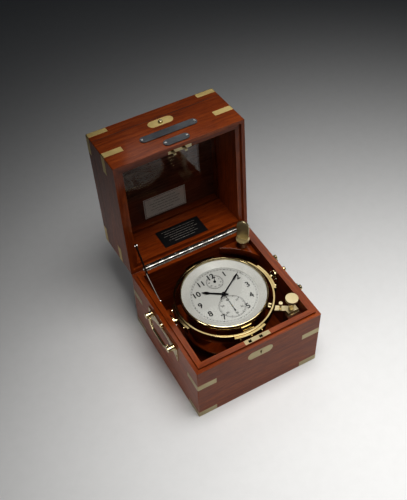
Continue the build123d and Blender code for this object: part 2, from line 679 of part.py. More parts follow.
def write_corner_fittings():
    corner = block(10, INNER, 10, INNER, *SHELF_Z) - post(SHELF_R, SHELF_Z[0] - 1, SHELF_Z[1] + 1)
    save("key_shelf", corner - post(3.5, SHELF_Z[0] - 1, SHELF_Z[1] + 1, *KEY_XY))
    key = post(3.4, 80.0, 97.5) + post(6.0, 97.2, 110.2) + post(10.0, 110.0, 112.4)
    paddle = Rot(90, 0, 0) * extrude(SlotOverall(37, 18, 90), 1.3, both=True)
    key += Rot(0, 0, -50) * (Pos(0, 0, 129) * paddle)
    key -= block(-1.6, 1.6, -1.6, 1.6, 79, 94)
    save("winding_key", Pos(*KEY_XY, 0) * key)
    x, y = LOCK_XY
    save("lock_block", block(60, INNER, -INNER, -57, 60, 88.5))
    base = block(61.5, 79.5, -67.5, -56.0, 88.5, 90.5)
    base += post(5.0, 90.4, 93.7, x, y) + post(2.5, 93, 112, x, y)
    save("gimbal_lock_plate", base)
    head = block(61.3, 77.8, -67.0, -57.5, *LOCK_ARM_Z)
    bar = Pos(x, y, 0) * Rot(0, 0, 147) * block(0, 26, -4.3, 4.3, *LOCK_ARM_Z)
    arm = head + bar - post(RING_R[1] + 1.2, 90, 100) - post(2.5 + RUN, 90, 100, x, y)
    peg_x, peg_y = x + 14.6 * cos(radians(153)), y + 14.6 * sin(radians(153))
    peg = post(1.6, LOCK_ARM_Z[1], 107, peg_x, peg_y) + post(2.8, 106.3, 109.8, peg_x, peg_y)
    save("gimbal_lock_arm", [arm, peg])
    knob = post(3.6, 96.9, 115.5) + post(8.8, 115.0, 119.5) + post(5.2, 113.6, 115.2)
    knob -= post(2.5 + RUN, 96, 112.5)
    save("gimbal_lock_knob", Pos(x, y, 0) * knob)


def write_stay():
    upper, knee = stay_knee()
    low = atan2(knee[1] - STAY_BASE[1], knee[0] - STAY_BASE[0])
    high = atan2(knee[1] - upper[1], knee[0] - upper[0])
    bar = stay_bar(STAY_X[0], STAY_X[1], STAY_BASE, low, STAY_BAR, 1.5 + RUN)
    rivet = rod_x(1.5, STAY_X[0], STAY_X[1], *knee)
    save("stay_lower_bar", [bar, rivet])
    save("stay_upper_bar", stay_bar(STAY_X[2], STAY_X[3], upper, high, STAY_BAR, 1.5 + RUN))


def write_tier():
    lower_leaf, tier_leaf, base_pin = piano_hinge(HINGE_Z)
    tier_low_leaf, lid_leaf, top_pin = piano_hinge(TOP_HINGE_Z)
    frame = tier_frame() - hinge_room(HINGE_Z) - hinge_room(TOP_HINGE_Z)
    straps = corner_straps("tier")
    escutcheon = Pos(0, -HALF + INLAY, BUTTON_Z) * stadium(36.5, 14.5, INLAY + PROUD)
    strike = strike_plate()
    hook_room = block(-6, 6, -90, -86, 157, TIER_TOP + 1)
    bore = rod_y(3.3, -HALF - 2, -90, 0, BUTTON_Z) + rod_y(4.6, -93.2, -89, 0, BUTTON_Z)
    plates, screws = [], []
    for length, z in PLATES:
        plate = Pos(0, -HALF, z) * stadium(length, PLATE_W, 1.0)
        for sx in (-1, 1):
            fixing = Pos(sx * (length / 2 - 3.2), -HALF - 1.0, z) * Rot(90, 0, 0) * screw(1.7, 0.7, 0.8, 6)
            plate -= fixing
            screws.append(fixing)
        plates.append(plate)
    data = block(-34.5, 34.5, INNER - 0.8, INNER, 114.4, 149.0)
    stay_screw = Pos(STAY_X[3], *STAY_TIER) * Rot(0, 90, 0) * screw(2.6, 1.2, 1.5, 9.0)
    screws.append(stay_screw)
    for cutter in straps + screws + [escutcheon, strike, hook_room, bore]:
        frame -= cutter
    bead = ring_frame(GLASS_HALF, 81.0, GLASS_Z[1], GLASS_Z[1] + 3.0)
    boards = mitred(frame, BASE_H, TIER_TOP) + [bead]
    glass = block(-GLASS_HALF, GLASS_HALF, -GLASS_HALF, GLASS_HALF, *GLASS_Z)
    save("base_hinge", [lower_leaf, base_pin])
    save("tier_boards", [opened(b) for b in boards])
    save("glass_pane", opened(glass))
    save("tier_corner_straps", [opened(s) for s in straps])
    save("button_escutcheon", opened(escutcheon - rod_y(3.3, -HALF - 2, -90, 0, BUTTON_Z)))
    save("push_button", opened(push_button()))
    save("tier_plates", [opened(p) for p in plates + [data]])
    save("strike_plate", opened(strike))
    save("tier_hinge_leaves", [opened(p) for p in (tier_leaf, tier_low_leaf, top_pin)])
    save("tier_screws", [opened(s) for s in screws])
    write_top_lid(lid_leaf)


def ring_frame(outer, inner, z0, z1):
    return block(-outer, outer, -outer, outer, z0, z1) - block(-inner, inner, -inner, inner, z0 - 1, z1 + 1)


def write_top_lid(lid_leaf):
    z0, panel_z = TIER_TOP + SEAM, BOX_H - PANEL_T
    outer = shell(z0, BOX_H)
    outer = fillet(outer.edges().group_by(Axis.Z)[-1], 1.5)
    straps = corner_straps("top")
    straps = [s & outer_skin() for s in straps]
    catch = block(-4, 4, -89.2, -87.2, 160, panel_z)
    for cutter in straps + [hinge_room(TOP_HINGE_Z), catch]:
        outer -= cutter
    rim = outer & block(-100, 100, -100, 100, z0 - 1, panel_z)
    rim -= block(-INNER, INNER, -INNER, INNER, 0, 300)
    panel = outer & block(-100, 100, -100, 100, panel_z, BOX_H + 1)
    label = block(-34, 34, 42, 78, panel_z - 0.3, panel_z)
    save("top_lid", [opened(b) for b in mitred(rim, z0, panel_z) + [panel]])
    save("top_corner_straps", [opened(s) for s in straps])
    save("top_hinge_leaf", opened(lid_leaf))
    save("lid_label", opened(label))
    save("lid_catch", opened(catch))


def outer_skin():
    """The top lid's outer form with room for proud straps."""
    body = shell(TIER_TOP, BOX_H, HALF + PROUD)
    return fillet(body.edges().group_by(Axis.Z)[-1], 1.5)


def write_gimbals():
    band = ring(*RING_R, *RING_Z)
    pads = [sector(RING_R[1], PAD_R, *PAD_Z, deg, PAD_DEG) for deg in (0, 90, 180, 270)]
    screws = [s for deg in (0, 90, 180, 270) for s in pad_screws(deg)]
    pin_room = rod_x(PIVOT_R + RUN, -80, 80, 0, PIVOT_Z)
    band -= pin_room
    pads[0] -= pin_room
    pads[2] -= pin_room
    for i, deg in enumerate((0, 90, 180, 270)):
        for cutter in pad_screws(deg):
            pads[i] -= cutter
            band -= cutter
    save("gimbal_ring", band)
    save("ring_pads", pads)
    save("ring_screws", screws)


def write_bowl():
    fusee = fusee_xy()
    dial = post(51.0, DIAL_TOP - 1.0, DIAL_TOP)
    holes = (post(2.4, 100, 105), post(0.75, 100, 105, *FOURTH), post(0.75, 100, 105, 0, UPDOWN_Y))
    for hole in holes:
        dial -= hole
    save("bowl", bowl_body())
    save("bezel", bezel())
    save("crystal", post(58.7, *CRYSTAL_Z))
    save("rehaut", rehaut())
    save("dial", dial)
    shutter = post(6.5, 32.3, 33.2, *fusee)
    shutter += block(fusee[0], fusee[0] + 14, fusee[1] - 3, fusee[1] + 3, 32.3, 33.2)
    shutter += post(1.6, 32.0, 33.2, *shutter_xy()) + post(1.0, 33.0, 34.6, *shutter_xy())
    save("winding_shutter", shutter)


def write_movement():
    centre_wheel, third_wheel, fourth_wheel, escape_wheel, great_wheel, fusee = going_train()
    save("movement_frame", movement_frame())
    save("centre_wheel", centre_wheel)
    save("third_wheel", third_wheel)
    save("fourth_wheel", fourth_wheel)
    save("escape_wheel", escape_wheel)
    save("great_wheel", great_wheel)
    save("fusee", fusee)
    save("barrel", barrel())
    save("fusee_chain", fusee_chain())
    save("balance", balance())
    save("balance_cock", balance_cock())
    save("hairspring", hairspring())
    save("detent", detent())


def write_motion_work():
    """The cannon pinion, minute wheel and hour wheel under the dial, and the four hands."""
    spot = minute_xy()
    toward = heading(CENTRE, spot)
    cannon = gear(CANNON_TEETH, MOTION_MOD, 99.3, 100.0, CENTRE, toward, True) + post(1.5, 99.9, 107.3)
    cannon -= post(0.9 + RUN, 98, 106.2)
    minute_wheel = gear(MINUTE_TEETH, MOTION_MOD, 99.3, 99.9, spot, toward + 180)
    minute_wheel += gear(MINUTE_PINION, HOUR_MOD, 99.8, 101.2, spot, toward + 180, True)
    minute_wheel -= post(MINUTE_STUD_R + RUN, 99, 102, *spot)
    hour_wheel = gear(HOUR_TEETH, HOUR_MOD, 100.4, 101.0, CENTRE, toward) + post(2.2, 100.9, 105.6)
    hour_wheel -= post(1.5 + RUN, 99, 106)
    hour_hand = pointing(poire_hand(31.5, 6.0, 4.2, 105.0, 105.5, 3.4, 2.2), 304.5)
    minute_hand = pointing(poire_hand(43.0, 9.0, 3.2, 106.2, 106.7, 3.0, 1.5), 57.0)
    seconds = prism([(0.35, 0), (0.12, 19.2), (-0.12, 19.2), (-0.35, 0)], 104.2, 104.5)
    seconds += prism([(0.3, 0), (0.5, -10), (-0.5, -10), (-0.3, 0)], 104.2, 104.5) + post(1.0, 104.2, 104.5)
    seconds += post(1.3, 104.2, 104.5, 0, -7.6)
    updown = prism([(0.5, 0), (0.1, 9.5), (-0.1, 9.5), (-0.5, 0)], 104.2, 104.5) + post(1.9, 104.2, 104.5)
    updown += post(UPDOWN_R, 96.5, 104.3) + gear(24, 0.25, 100.0, 100.8)
    save("minute_hand", [minute_hand, cannon])
    save("minute_wheel", minute_wheel)
    save("hour_hand", [hour_hand, hour_wheel])
    save("seconds_hand", pointing(seconds - post(0.6, 104, 105), 2.0, FOURTH))
    save("updown_hand", pointing(updown, 25.0, (0, UPDOWN_Y)))


write_box()
write_corner_fittings()
write_stay()
write_tier()
write_gimbals()
write_bowl()
write_movement()
write_motion_work()
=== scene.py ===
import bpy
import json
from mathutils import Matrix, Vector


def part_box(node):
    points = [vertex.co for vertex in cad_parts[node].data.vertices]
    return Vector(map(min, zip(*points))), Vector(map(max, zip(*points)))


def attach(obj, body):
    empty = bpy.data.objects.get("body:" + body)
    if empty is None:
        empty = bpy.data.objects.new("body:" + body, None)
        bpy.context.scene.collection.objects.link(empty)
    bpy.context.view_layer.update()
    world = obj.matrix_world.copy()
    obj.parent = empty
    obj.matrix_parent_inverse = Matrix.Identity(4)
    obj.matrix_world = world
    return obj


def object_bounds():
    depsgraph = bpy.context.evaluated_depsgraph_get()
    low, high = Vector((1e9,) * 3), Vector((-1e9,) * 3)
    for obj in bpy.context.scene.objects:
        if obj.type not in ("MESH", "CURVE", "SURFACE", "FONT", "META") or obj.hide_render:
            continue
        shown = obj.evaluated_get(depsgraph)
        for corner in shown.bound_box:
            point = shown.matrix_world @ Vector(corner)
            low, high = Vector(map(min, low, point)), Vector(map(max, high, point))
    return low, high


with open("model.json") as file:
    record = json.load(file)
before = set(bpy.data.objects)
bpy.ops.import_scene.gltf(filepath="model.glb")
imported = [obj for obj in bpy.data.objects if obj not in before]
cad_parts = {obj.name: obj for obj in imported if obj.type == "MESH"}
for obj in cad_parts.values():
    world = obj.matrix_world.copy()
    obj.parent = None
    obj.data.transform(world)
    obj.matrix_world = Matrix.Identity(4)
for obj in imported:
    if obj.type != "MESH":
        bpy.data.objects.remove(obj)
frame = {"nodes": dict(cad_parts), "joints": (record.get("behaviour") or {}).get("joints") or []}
cad_box = [list(corner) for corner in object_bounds()]

import json
from math import cos, pi, radians, sin

import bmesh
import bpy
from mathutils import Matrix, Vector

MM = 0.001
PRINT = 0.03 * MM  # thickness of a printed figure or rule
DATA_PLATE = (81.2 * MM, 131.7 * MM)  # y of its face and z of its middle, with the box shut
NODES = frame["nodes"]
JOINTS = {joint["name"]: joint for joint in frame["joints"]}

# ---- places read from the frame ---------------------------------------------------------------------
HINGE = Vector(JOINTS["tier_hinge"]["pos_m"])
OPEN = radians(JOINTS["tier_hinge"]["range_deg"][1])
SWING = Matrix.Translation(HINGE) @ Matrix.Rotation(-OPEN, 4, "X") @ Matrix.Translation(-HINGE)
SHUT = SWING.inverted()
DIAL_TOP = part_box("dial")[1].z
SECONDS = Vector(JOINTS["fourth_arbor"]["pos_m"])
UPDOWN = Vector(JOINTS["updown_arbor"]["pos_m"])


# ---- shader building blocks --------------------------------------------------------------------------
class Surface:
    """One Principled material and the few texture nodes it is built from."""

    def __init__(self, name, color, roughness, metallic=0.0):
        self.material = bpy.data.materials.new(name)
        self.material.use_nodes = True
        self.tree = self.material.node_tree
        self.shader = self.tree.nodes["Principled BSDF"]
        self.set("Base Color", (*color, 1.0))
        self.set("Roughness", roughness)
        self.set("Metallic", metallic)

    def set(self, socket, value):
        self.shader.inputs[socket].default_value = value
        return self

    def join(self, source, target):
        self.tree.links.new(source, target)

    def coords(self, scale, turn=(0.0, 0.0, 0.0)):
        place = self.tree.nodes.new("ShaderNodeTexCoord")
        mapping = self.tree.nodes.new("ShaderNodeMapping")
        mapping.inputs["Scale"].default_value = scale
        mapping.inputs["Rotation"].default_value = turn
        self.join(place.outputs["Object"], mapping.inputs["Vector"])
        return mapping.outputs["Vector"]

    def noise(self, vector, scale=1.0, detail=4.0, roughness=0.55, distortion=0.0):
        node = self.tree.nodes.new("ShaderNodeTexNoise")
        node.inputs["Scale"].default_value = scale
        node.inputs["Detail"].default_value = detail
        node.inputs["Roughness"].default_value = roughness
        node.inputs["Distortion"].default_value = distortion
        self.join(vector, node.inputs["Vector"])
        return node.outputs["Fac"]

    def ramp(self, factor, stops):
        node = self.tree.nodes.new("ShaderNodeValToRGB")
        elements = node.color_ramp.elements
        while len(elements) < len(stops):
            elements.new(0.5)
        for element, (position, color) in zip(elements, stops):
            element.position = position
            element.color = (*color, 1.0)
        self.join(factor, node.inputs["Fac"])
        return node.outputs["Color"]

    def mix(self, a, b, factor, kind="MIX"):
        node = self.tree.nodes.new("ShaderNodeMix")
        node.data_type = "RGBA"
        node.blend_type = kind
        node.inputs["Factor"].default_value = factor
        self.join(a, node.inputs["A"])
        self.join(b, node.inputs["B"])
        return node.outputs["Result"]

    def span(self, factor, low, high):
        """Maps a 0.3 to 0.7 noise onto low to high."""
        node = self.tree.nodes.new("ShaderNodeMapRange")
        node.inputs["From Min"].default_value = 0.3
        node.inputs["From Max"].default_value = 0.7
        node.inputs["To Min"].default_value = low
        node.inputs["To Max"].default_value = high
        self.join(factor, node.inputs["Value"])
        return node.outputs["Result"]

    def bump(self, height, strength, distance):
        node = self.tree.nodes.new("ShaderNodeBump")
        node.inputs["Strength"].default_value = strength
        node.inputs["Distance"].default_value = distance
        self.join(height, node.inputs["Height"])
        self.join(node.outputs["Normal"], self.shader.inputs["Normal"])
        return self


# How much finer the figure is across the grain than along it, for each direction of the grain.
GRAIN = {"X": (1.0, 11.0, 11.0), "Y": (11.0, 1.0, 11.0), "Z": (11.0, 11.0, 1.0)}


def mahogany(name, axis, shades, tilt=0.0, seed=0.0):
    """French-polished mahogany: ribbon figure, fine fibre and open pores along one axis."""
    surface = Surface(name, shades[1], 0.36)
    vector = surface.coords(GRAIN[axis], (tilt, 0.0, 0.0))
    shift = surface.tree.nodes.new("ShaderNodeVectorMath")
    shift.inputs[1].default_value = (seed, seed * 1.7, seed * 0.6)
    surface.join(vector, shift.inputs[0])
    vector = shift.outputs["Vector"]
    figure = surface.noise(vector, 3.0, 3.0, 0.5, 0.8)
    ribbon = surface.noise(vector, 22.0, 5.0, 0.62, 0.3)
    fibre = surface.noise(vector, 95.0, 5.0, 0.7)
    base = surface.ramp(ribbon, [(0.30, shades[0]), (0.52, shades[1]), (0.74, shades[2])])
    flame = surface.ramp(figure, [(0.32, shades[0]), (0.50, shades[1]), (0.70, shades[2])])
    body = surface.mix(base, flame, 0.28)
    streaks = surface.ramp(fibre, [(0.34, (0.50, 0.46, 0.44)), (0.50, (1.0, 1.0, 1.0))])
    surface.join(surface.mix(body, streaks, 0.75, "MULTIPLY"), surface.shader.inputs["Base Color"])
    surface.join(surface.span(fibre, 0.42, 0.28), surface.shader.inputs["Roughness"])
    surface.set("Specular IOR Level", 0.06)
    surface.set("Coat Weight", 0.42)
    surface.set("Coat Roughness", 0.10)
    surface.set("Coat IOR", 1.5)
    return surface.bump(fibre, 0.10, 0.2 * MM).material


def metal(name, color, dark, roughness, scratch_axis="X"):
    """Metal with faint lengthwise brushing and a slight uneven tone."""
    surface = Surface(name, color, roughness, 1.0)
    spread = {"X": (0.06, 1.0, 1.0), "Y": (1.0, 0.06, 1.0), "Z": (1.0, 1.0, 0.06)}[scratch_axis]
    brushing = surface.noise(surface.coords(spread), 900.0, 4.0, 0.7)
    cloud = surface.noise(surface.coords((1.0, 1.0, 1.0)), 38.0, 3.0, 0.6)
    tone = surface.ramp(cloud, [(0.30, dark), (0.62, color)])
    surface.join(tone, surface.shader.inputs["Base Color"])
    uneven = surface.span(brushing, roughness * 0.75, roughness * 1.3)
    surface.join(uneven, surface.shader.inputs["Roughness"])
    return surface.bump(brushing, 0.12, 0.04 * MM).material


def flat_finish(name, color, dark, roughness, scale, bump=0.15, gloss=0.5):
    """A paint, paper or silvered finish with a fine even grain."""
    surface = Surface(name, color, roughness)
    grain = surface.noise(surface.coords((1.0, 1.0, 1.0)), scale, 5.0, 0.65)
    surface.join(surface.ramp(grain, [(0.30, dark), (0.60, color)]), surface.shader.inputs["Base Color"])
    surface.set("Specular IOR Level", gloss)
    return surface.bump(grain, bump, 0.05 * MM).material


def turned_metal(name, color, dark, roughness, metallic=1.0):
    """Metal finished on a lathe: fine rings round the dial's axis."""
    surface = Surface(name, color, roughness, metallic)
    wave = surface.tree.nodes.new("ShaderNodeTexWave")
    wave.wave_type = "RINGS"
    wave.rings_direction = "Z"
    wave.inputs["Scale"].default_value = 900.0
    wave.inputs["Distortion"].default_value = 3.0
    wave.inputs["Detail"].default_value = 2.0
    surface.join(surface.coords((1.0, 1.0, 1.0)), wave.inputs["Vector"])
    cloud = surface.noise(surface.coords((1.0, 1.0, 1.0)), 45.0, 3.0, 0.6)
    surface.join(surface.ramp(cloud, [(0.30, dark), (0.62, color)]), surface.shader.inputs["Base Color"])
    surface.join(surface.span(cloud, roughness * 0.8, roughness * 1.25), surface.shader.inputs["Roughness"])
    return surface.bump(wave.outputs["Fac"], 0.05, 0.03 * MM).material


def window(name, skin):
    """Clear glass: what is behind it shows straight through, under a mirror-like skin."""
    surface = Surface(name, (skin, skin, skin), 0.015, 1.0)
    tree = surface.tree
    clear = tree.nodes.new("ShaderNodeBsdfTransparent")
    clear.inputs["Color"].default_value = (0.995, 1.0, 0.995, 1.0)
    edge = tree.nodes.new("ShaderNodeLayerWeight")
    edge.inputs["Blend"].default_value = 0.05
    blend = tree.nodes.new("ShaderNodeMixShader")
    surface.join(edge.outputs["Facing"], blend.inputs["Fac"])
    surface.join(clear.outputs["BSDF"], blend.inputs[1])
    surface.join(surface.shader.outputs["BSDF"], blend.inputs[2])
    surface.join(blend.outputs["Shader"], tree.nodes["Material Output"].inputs["Surface"])
    return surface.material


# ---- materials ------------------------------------------------------------------------------------------
# Each wood's shades run from its dark pores to its light ribbons.
RED = ((0.092, 0.016, 0.003), (0.188, 0.036, 0.005), (0.290, 0.066, 0.009))
# BROWN is a darker, duller copy of the mahogany for the panel inside the top lid: painted shade and the
# painted haze of the glass pane's reflection over it.
BROWN = ((0.062, 0.020, 0.011), (0.120, 0.042, 0.024), (0.185, 0.070, 0.040))
DARK = ((0.030, 0.010, 0.006), (0.075, 0.022, 0.011), (0.120, 0.036, 0.016))
LEAN = OPEN - pi / 2  # how far past upright the open tier leans
WOOD = {
    "X": mahogany("mahogany_along_x", "X", RED, 0.0, 0.0),
    "Y": mahogany("mahogany_along_y", "Y", RED, 0.0, 2.3),
    "lean_X": mahogany("mahogany_tier_front", "X", RED, 0.0, 4.1),
    "lean_Y": mahogany("mahogany_tier_side", "Z", RED, -LEAN, 6.7),
    "panel": mahogany("mahogany_panel_painted_haze", "X", BROWN, 0.0, 9.4),
    "dark": mahogany("dark_stained_wood", "Y", DARK, 0.0, 11.0),
}
STRAP_BRASS = metal("strap_brass", (0.74, 0.58, 0.26), (0.62, 0.47, 0.20), 0.36)
# Darker copy of the strap brass for the fittings on the box's front, which face away from the lamps: painted
# shade.
SHADED_STRAP_BRASS = metal("strap_brass_painted_shade", (0.42, 0.36, 0.22), (0.34, 0.28, 0.16), 0.38)
KEY_BRASS = metal("key_brass", (0.66, 0.57, 0.36), (0.56, 0.47, 0.28), 0.36)
POLISHED_BRASS = turned_metal("polished_brass", (0.66, 0.55, 0.33), (0.54, 0.43, 0.24), 0.10)
# Darker copy of the polished brass for the gimbal ring and its pads: painted shade for the dark surroundings
# that their flat tops reflect.
SHADED_RING_BRASS = turned_metal("gimbal_brass_painted_shade", (0.40, 0.32, 0.17), (0.30, 0.23, 0.11), 0.14)
HANDLE_BRASS = metal("handle_brass", (0.68, 0.58, 0.36), (0.52, 0.42, 0.24), 0.20, "Y")
GILT = metal("gilt_movement", (0.80, 0.62, 0.32), (0.68, 0.50, 0.24), 0.32)
# The hinge's nickel comes in a lighter and a darker copy. The tier's leaves take the lighter one and the
# base's and top's leaves the darker one, so that the knuckles alternate in painted glints and painted shade.
NICKEL = metal("nickel", (0.50, 0.48, 0.45), (0.34, 0.33, 0.31), 0.17)
SHADED_NICKEL = metal("nickel_painted_shade", (0.26, 0.24, 0.22), (0.16, 0.15, 0.14), 0.26)
DARK_STEEL = metal("dark_steel", (0.050, 0.047, 0.044), (0.030, 0.028, 0.026), 0.30, "Z")
STEEL = metal("steel", (0.62, 0.62, 0.61), (0.48, 0.48, 0.47), 0.22)
SCREW_BRASS = metal("screw_brass", (0.84, 0.72, 0.44), (0.70, 0.56, 0.30), 0.16)
HAND_STEEL = metal("dark_hand_steel", (0.045, 0.045, 0.050), (0.020, 0.020, 0.026), 0.26, "Y")
SILVERED_DIAL = flat_finish("silvered_dial", (0.465, 0.46, 0.44), (0.43, 0.425, 0.41), 0.48, 900.0, 0.08)
SILVERED_RING = turned_metal("silvered_ring", (0.50, 0.49, 0.465), (0.445, 0.435, 0.415), 0.52, 0.12)
BLACK_PLATE = flat_finish("black_plate", (0.010, 0.009, 0.010), (0.005, 0.005, 0.006), 0.5, 1200.0, 0.1, 0.15)
NAME_PLATE = metal("name_plate", (0.14, 0.145, 0.155), (0.085, 0.09, 0.10), 0.40)
DIAL_INK = flat_finish("dial_ink", (0.008, 0.008, 0.009), (0.005, 0.005, 0.006), 0.45, 1500.0)
FINE_INK = flat_finish("fine_dial_ink", (0.045, 0.045, 0.047), (0.03, 0.03, 0.03), 0.5, 1500.0)
PAPER = flat_finish("aged_paper", (0.86, 0.84, 0.79), (0.78, 0.75, 0.69), 0.75, 500.0)
PAPER_INK = flat_finish("paper_ink", (0.14, 0.11, 0.09), (0.10, 0.08, 0.06), 0.8, 900.0)
ENGRAVING = flat_finish("plate_engraving", (0.36, 0.34, 0.30), (0.26, 0.24, 0.21), 0.5, 900.0)
JOINT_SHADOW = flat_finish("joint_shadow", (0.007, 0.003, 0.002), (0.005, 0.002, 0.001), 0.7, 900.0)
GLASS = window("clear_glass", 1.0)
CRYSTAL = window("dial_crystal", 0.4)


def paint(material, *names):
    """Gives CAD nodes one material each."""
    for name in names:
        NODES[name].data.materials.clear()
        NODES[name].data.materials.append(material)


def paint_boards(name, along_x, along_y, floor=None, swung=False):
    """Gives each board of a mitred frame the wood whose grain runs along it."""
    mesh = NODES[name].data
    mesh.materials.clear()
    for material in (along_x, along_y, floor or along_x):
        mesh.materials.append(material)
    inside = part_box("glass_pane")[1].x
    for polygon in mesh.polygons:
        spot = SHUT @ polygon.center if swung else polygon.center
        flat = abs(spot.x) < inside * 0.96 and abs(spot.y) < inside * 0.96
        if floor and flat:
            polygon.material_index = 2
        else:
            polygon.material_index = 0 if abs(spot.y) > abs(spot.x) else 1


def soften(name, width):
    """Rounds a CAD piece's sharp edges a little, so that they catch the light."""
    piece = NODES[name]
    weld = piece.modifiers.new("weld", "WELD")
    weld.merge_threshold = 0.002 * MM
    bevel = piece.modifiers.new("edges", "BEVEL")
    bevel.width = width
    bevel.segments = 2
    bevel.limit_method = "ANGLE"
    bevel.angle_limit = radians(35.0)


paint_boards("base_boards", WOOD["X"], WOOD["Y"])
paint_boards("tier_boards", WOOD["lean_X"], WOOD["lean_Y"], swung=True)
paint_boards("top_lid", WOOD["lean_X"], WOOD["lean_Y"], WOOD["panel"], swung=True)
paint(WOOD["Y"], "key_shelf")
paint(WOOD["dark"], "lock_block")
paint(STRAP_BRASS, "tier_corner_straps", "top_corner_straps", "button_escutcheon")
# The front straps, lock, escutcheon and strike plate take the darker copy of the strap brass: painted shade.
paint(SHADED_STRAP_BRASS, "base_corner_straps", "keyhole_escutcheon", "box_lock", "strike_plate")
paint(HANDLE_BRASS, "handle_plates", "bail_left", "bail_right", "push_button")
paint(POLISHED_BRASS, "bowl", "bezel", "gimbal_bearings")
paint(SHADED_RING_BRASS, "gimbal_ring", "ring_pads")
paint(KEY_BRASS, "gimbal_lock_plate", "gimbal_lock_arm", "gimbal_lock_knob")
paint(KEY_BRASS, "winding_key", "winding_shutter")
# Alternate knuckles in the lighter and the darker nickel: painted glints and painted shade.
paint(NICKEL, "tier_hinge_leaves")
paint(SHADED_NICKEL, "base_hinge", "top_hinge_leaf")
paint(DARK_STEEL, "stay_lower_bar", "stay_upper_bar")
paint(STEEL, "case_screws", "tier_screws", "lock_bolt", "lid_catch", "hairspring", "detent", "fusee_chain")
paint(SCREW_BRASS, "ring_screws")
paint(GILT, "movement_frame", "centre_wheel", "third_wheel", "fourth_wheel", "escape_wheel", "great_wheel")
paint(GILT, "fusee", "barrel", "balance", "balance_cock", "minute_wheel")
paint(HAND_STEEL, "hour_hand", "minute_hand", "seconds_hand", "updown_hand")
paint(SILVERED_DIAL, "dial")
paint(SILVERED_RING, "rehaut")
paint(NAME_PLATE, "tier_plates")
NODES["tier_plates"].data.materials.append(BLACK_PLATE)
for side in NODES["tier_plates"].data.polygons:
    side.material_index = 1 if (SHUT @ side.center).y > 0.0 else 0
NODES["box_lock"].data.materials.append(DARK_STEEL)
for side in NODES["box_lock"].data.polygons:
    side.material_index = 1 if side.center.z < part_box("box_lock")[1].z - 2 * MM else 0
paint(PAPER, "lid_label")
paint(GLASS, "glass_pane")
paint(CRYSTAL, "crystal")

for wooden in ("base_boards", "tier_boards", "top_lid", "key_shelf", "lock_block"):
    soften(wooden, 0.5 * MM)
for fitting in ("handle_plates", "gimbal_lock_plate", "gimbal_lock_arm", "gimbal_lock_knob", "winding_key"):
    soften(fitting, 0.3 * MM)
for turned in ("gimbal_ring", "ring_pads", "bezel"):
    soften(turned, 0.4 * MM)


# ---- flat drawing: printed figures and rules ---------------------------------------------------------
class Sheet:
    """Flat outlines collected in one mesh lying in XY, given a thickness and placed at the end."""

    def __init__(self):
        self.mesh = bmesh.new()

    def polygon(self, points):
        self.mesh.faces.new([self.mesh.verts.new((x, y, 0.0)) for x, y in points])

    def line(self, start, end, width):
        a, b = Vector(start), Vector(end)
        side = (b - a).orthogonal().normalized() * (width / 2)
        self.polygon([a + side, a - side, b - side, b + side])

    def arc(self, centre, radius, width, start=0.0, end=360.0, steps=96):
        inner, outer = radius - width / 2, radius + width / 2
        angles = [radians(start + (end - start) * i / steps) for i in range(steps + 1)]
        for a, b in zip(angles, angles[1:]):
            corners = ((inner, a), (outer, a), (outer, b), (inner, b))
            self.polygon([(centre[0] + r * cos(t), centre[1] + r * sin(t)) for r, t in corners])

    def disc(self, centre, radius, steps=20):
        turns = [2 * pi * i / steps for i in range(steps)]
        self.polygon([(centre[0] + radius * cos(t), centre[1] + radius * sin(t)) for t in turns])

    def ticks(self, centre, inner, outer, count, width, start=0.0, end=360.0):
        for i in range(count):
            a = radians(90 - start - (end - start) * i / count)
            near = (centre[0] + inner * cos(a), centre[1] + inner * sin(a))
            far = (centre[0] + outer * cos(a), centre[1] + outer * sin(a))
            self.line(near, far, width)

    def text(self, body, spot, size, bold):
        """One number, centred on its spot and printed again by bold to each side of it."""
        curve = bpy.data.curves.new("figure", "FONT")
        curve.body = body
        curve.size = 1.0
        curve.align_x = "CENTER"
        curve.align_y = "CENTER"
        carrier = bpy.data.objects.new("figure", curve)
        bpy.context.scene.collection.objects.link(carrier)
        bpy.context.view_layer.update()
        shape = carrier.evaluated_get(bpy.context.evaluated_depsgraph_get()).to_mesh()
        xs = [v.co.x for v in shape.vertices]
        ys = [v.co.y for v in shape.vertices]
        centre = Vector(((min(xs) + max(xs)) / 2, (min(ys) + max(ys)) / 2, 0.0))
        place = Matrix.Translation((*spot, 0.0)) @ Matrix.Scale(size, 4)
        shape.transform(place @ Matrix.Translation(-centre))
        for x, y in ((0, 0), (1, 0), (-1, 0), (0, 1), (0, -1)):
            shape.transform(Matrix.Translation((x * bold, y * bold, 0.0)))
            self.mesh.from_mesh(shape)
            shape.transform(Matrix.Translation((-x * bold, -y * bold, 0.0)))
        bpy.data.objects.remove(carrier)
        bpy.data.curves.remove(curve)

    def piece(self, name, material, place, thick):
        mesh = bpy.data.meshes.new(name)
        bmesh.ops.triangulate(self.mesh, faces=[f for f in self.mesh.faces if len(f.verts) > 4])
        self.mesh.to_mesh(mesh)
        self.mesh.free()
        mesh.materials.append(material)
        mesh.transform(place)
        item = bpy.data.objects.new(name, mesh)
        bpy.context.scene.collection.objects.link(item)
        solid = item.modifiers.new("thickness", "SOLIDIFY")
        solid.thickness = thick
        solid.offset = 0.0
        return item


def clock_spot(centre, radius, degrees_past):
    """The point this many degrees past twelve o'clock."""
    a = radians(90 - degrees_past)
    return (centre[0] + radius * cos(a), centre[1] + radius * sin(a))


